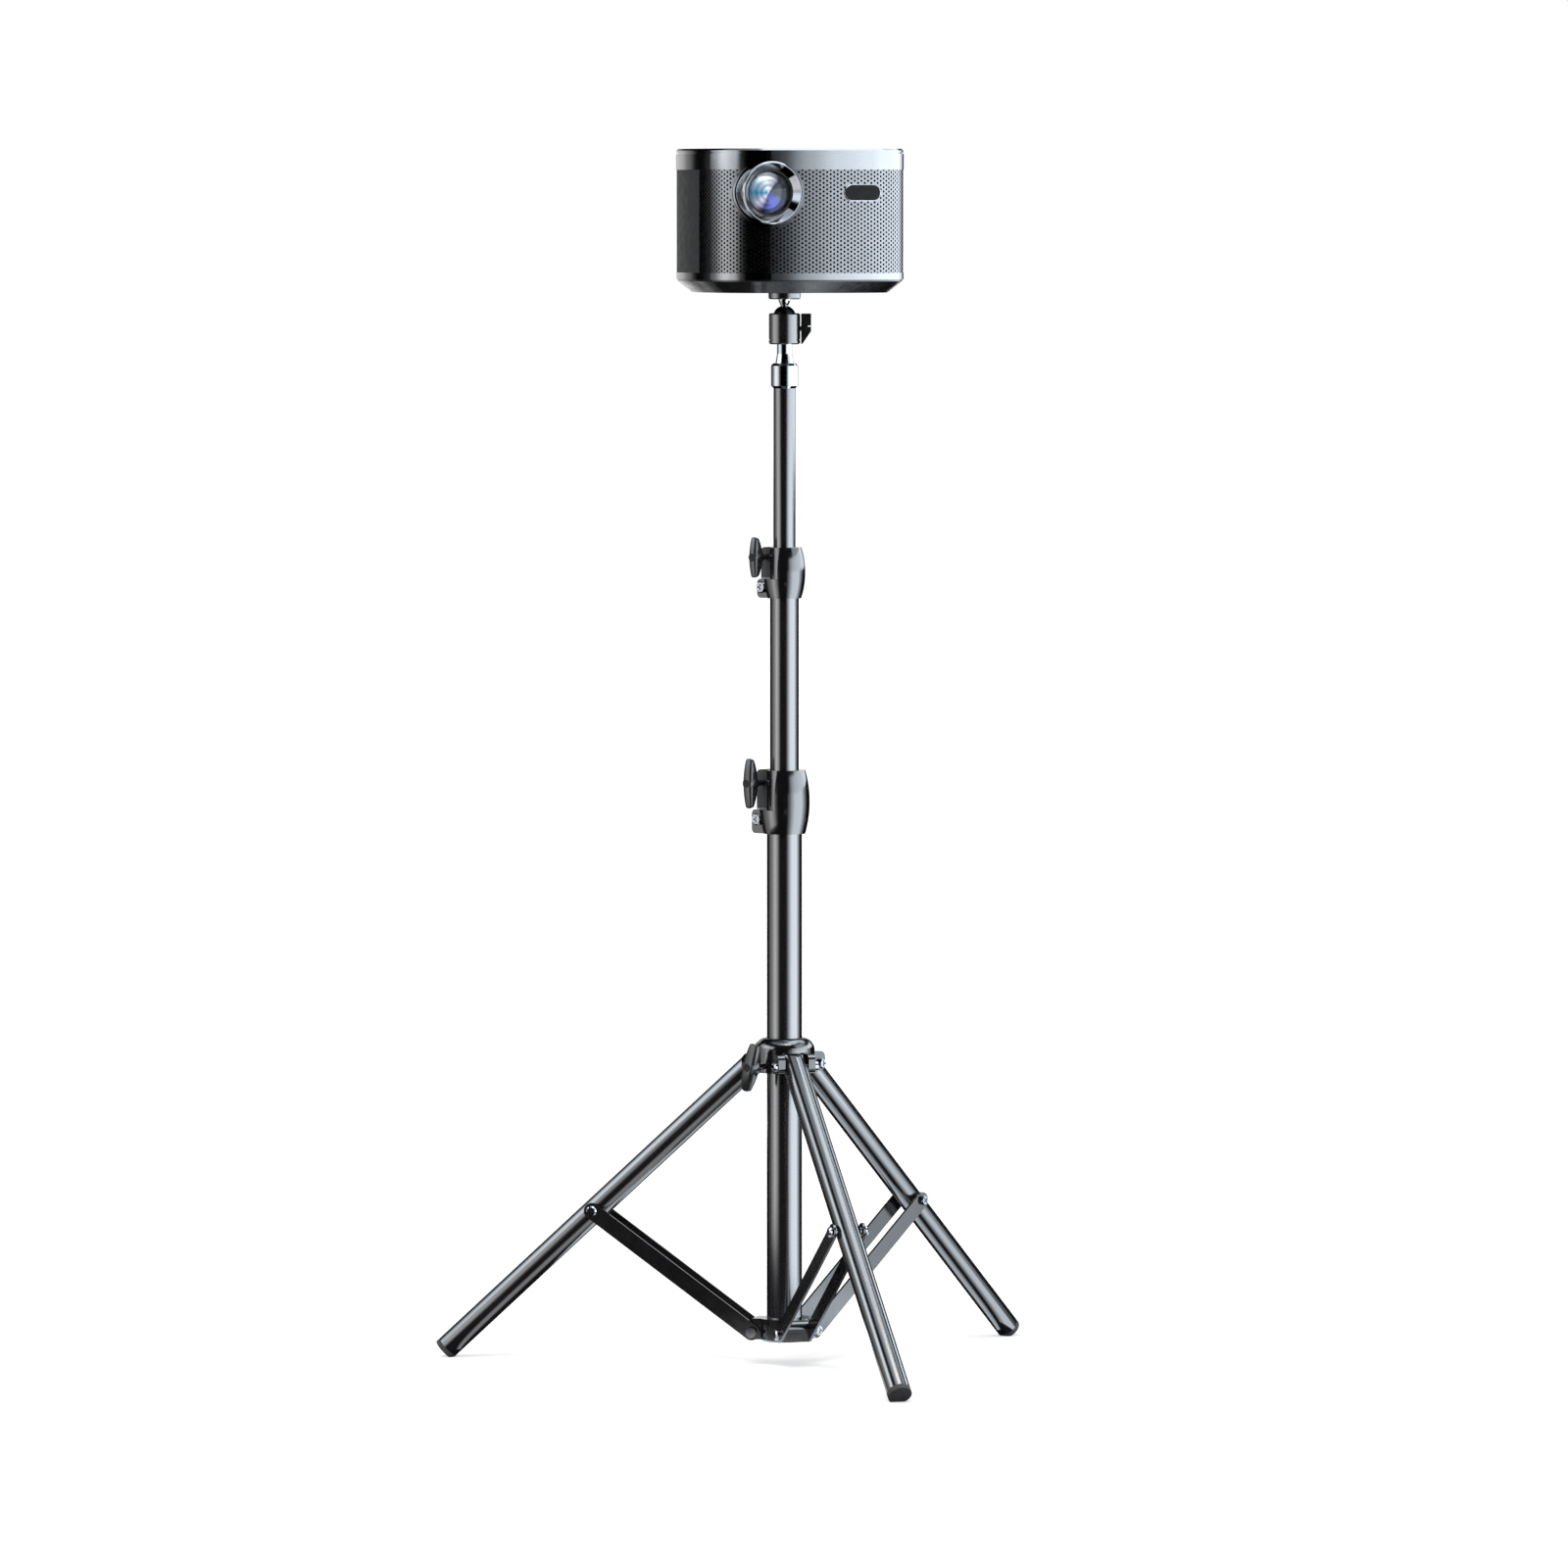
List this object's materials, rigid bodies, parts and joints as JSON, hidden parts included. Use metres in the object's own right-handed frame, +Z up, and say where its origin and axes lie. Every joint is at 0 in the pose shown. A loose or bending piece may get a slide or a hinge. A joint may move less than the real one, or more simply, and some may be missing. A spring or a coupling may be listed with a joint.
{
  "type": "projector on folding tripod stand",
  "caption": "Portable box projector on a small ball head, carried by a telescopic mast with clamp collars and a folding braced tripod.",
  "frame": {"origin": "on the floor under the mast's axis, in the middle of the feet", "axes": "+Z up the mast, the projector looks along -Y, +X to the right seen from in front"},
  "size_m": [0.4956, 0.4318, 0.9657],
  "materials": {
    "tube_black": "gloss",
    "bar_black": "satin",
    "collar_black": "gloss",
    "knob_black": "satin",
    "chrome": "polished",
    "head_black": "satin",
    "foot_rubber": "matte",
    "liner_black": "matte",
    "trim_silver": "satin",
    "grille_silver": "satin",
    "base_black": "gloss",
    "lens_glass": "polished",
    "sensor_black": "gloss"
  },
  "bodies": {
    "lower_mast": {"lower_mast_tube": "tube_black", "lower_hub": "collar_black", "hub_pivot_bolts": "chrome", "lower_collar": "collar_black", "lower_collar_bolt": "chrome"},
    "lower_knob": {"lower_collar_knob": "knob_black", "lower_knob_screw": "chrome"},
    "middle_mast": {"middle_mast_tube": "tube_black", "upper_collar": "collar_black", "upper_collar_bolt": "chrome"},
    "upper_knob": {"upper_collar_knob": "knob_black", "upper_knob_screw": "chrome"},
    "top_mast": {"top_mast_tube": "tube_black", "spigot": "chrome", "ball_head_body": "head_black"},
    "head_clamp": {"head_knob": "knob_black", "head_knob_screw": "chrome"},
    "ball_seat": {"ball_cup": "liner_black"},
    "projector": {"ball_stud": "chrome", "mounting_plate": "head_black", "projector_base": "base_black", "lower_trim_band": "trim_silver", "grille_wrap": "grille_silver", "inner_liner": "liner_black", "rear_cover": "base_black", "upper_trim_band": "trim_silver", "top_lid": "trim_silver", "lens_bezel": "chrome", "lens_barrel": "liner_black", "lens_glass": "lens_glass", "sensor_window": "sensor_black", "rear_port_panel": "liner_black", "power_inlet": "chrome"},
    "leg_slider": {"leg_collar": "collar_black", "leg_pivot_pins": "chrome"},
    "leg_lock": {"leg_collar_knob": "knob_black", "leg_knob_screw": "chrome"},
    "right_leg": {"right_leg_tube": "tube_black", "right_foot_plug": "foot_rubber"},
    "right_brace": {"right_brace_bars": "bar_black", "right_brace_bolts": "chrome"},
    "left_leg": {"left_leg_tube": "tube_black", "left_foot_plug": "foot_rubber"},
    "left_brace": {"left_brace_bars": "bar_black", "left_brace_bolts": "chrome"},
    "front_leg": {"front_leg_tube": "tube_black", "front_foot_plug": "foot_rubber"},
    "front_brace": {"front_brace_bars": "bar_black", "front_brace_bolts": "chrome"}
  },
  "joints": [
    {"name": "leg_collar_slide", "type": "slide", "parent": "lower_mast", "child": "leg_slider", "axis": [0, 0, 1], "range_m": [0, 0.12074]},
    {"name": "leg_lock_turn", "type": "hinge", "parent": "leg_slider", "child": "leg_lock", "pos_m": [-0.03551, -0.0205, 0.2395], "axis": [-0.866, -0.5, 0], "range_deg": [0, 270]},
    {"name": "lower_knob_turn", "type": "hinge", "parent": "lower_mast", "child": "lower_knob", "pos_m": [-0.0086, 0.0149, 0.4633], "axis": [-0.866, -0.5, 0], "range_deg": [0, 270]},
    {"name": "middle_mast_slide", "type": "slide", "parent": "lower_mast", "child": "middle_mast", "axis": [0, 0, 1], "range_m": [-0.13, 0.175]},
    {"name": "upper_knob_turn", "type": "hinge", "parent": "middle_mast", "child": "upper_knob", "pos_m": [-0.0074, 0.01282, 0.6427], "axis": [-0.866, -0.5, 0], "range_deg": [0, 270]},
    {"name": "top_mast_slide", "type": "slide", "parent": "middle_mast", "child": "top_mast", "axis": [0, 0, 1], "range_m": [-0.115, 0.19]},
    {"name": "head_clamp_turn", "type": "hinge", "parent": "top_mast", "child": "head_clamp", "pos_m": [0.01175, -0.00428, 0.82365], "axis": [0.9397, -0.342, 0], "range_deg": [0, 270]},
    {"name": "head_pan", "type": "hinge", "parent": "top_mast", "child": "ball_seat", "pos_m": [0, 0, 0.8328], "axis": [0, 0, 1], "range_deg": [-180, 180]},
    {"name": "head_tilt", "type": "hinge", "parent": "ball_seat", "child": "projector", "pos_m": [0, 0, 0.8328], "axis": [1, 0, 0], "range_deg": [-30, 30]},
    {"name": "right_leg_fold", "type": "hinge", "parent": "leg_slider", "child": "right_leg", "pos_m": [0.02269, 0.0131, 0.2395], "axis": [-0.5, 0.866, 0], "range_deg": [0, 43.06]},
    {"name": "right_brace_fold", "type": "hinge", "parent": "lower_mast", "child": "right_brace", "pos_m": [0.02096, 0.0121, 0.0263], "axis": [0.5, -0.866, 0], "range_deg": [0, 48.96]},
    {"name": "left_leg_fold", "type": "hinge", "parent": "leg_slider", "child": "left_leg", "pos_m": [-0.02269, 0.0131, 0.2395], "axis": [-0.5, -0.866, 0], "range_deg": [0, 43.06]},
    {"name": "left_brace_fold", "type": "hinge", "parent": "lower_mast", "child": "left_brace", "pos_m": [-0.02096, 0.0121, 0.0263], "axis": [0.5, 0.866, 0], "range_deg": [0, 48.96]},
    {"name": "front_leg_fold", "type": "hinge", "parent": "leg_slider", "child": "front_leg", "pos_m": [0, -0.0262, 0.2395], "axis": [1, 0, 0], "range_deg": [0, 43.06]},
    {"name": "front_brace_fold", "type": "hinge", "parent": "lower_mast", "child": "front_brace", "pos_m": [0, -0.0242, 0.0263], "axis": [-1, 0, 0], "range_deg": [0, 48.96]}
  ],
  "couplings": [
    {"joint": "right_leg_fold", "follows": "leg_collar_slide", "rad_per_m": 6.2228},
    {"joint": "right_brace_fold", "follows": "leg_collar_slide", "rad_per_m": 7.0753},
    {"joint": "left_leg_fold", "follows": "leg_collar_slide", "rad_per_m": 6.2228},
    {"joint": "left_brace_fold", "follows": "leg_collar_slide", "rad_per_m": 7.0753},
    {"joint": "front_leg_fold", "follows": "leg_collar_slide", "rad_per_m": 6.2228},
    {"joint": "front_brace_fold", "follows": "leg_collar_slide", "rad_per_m": 7.0753}
  ]
}
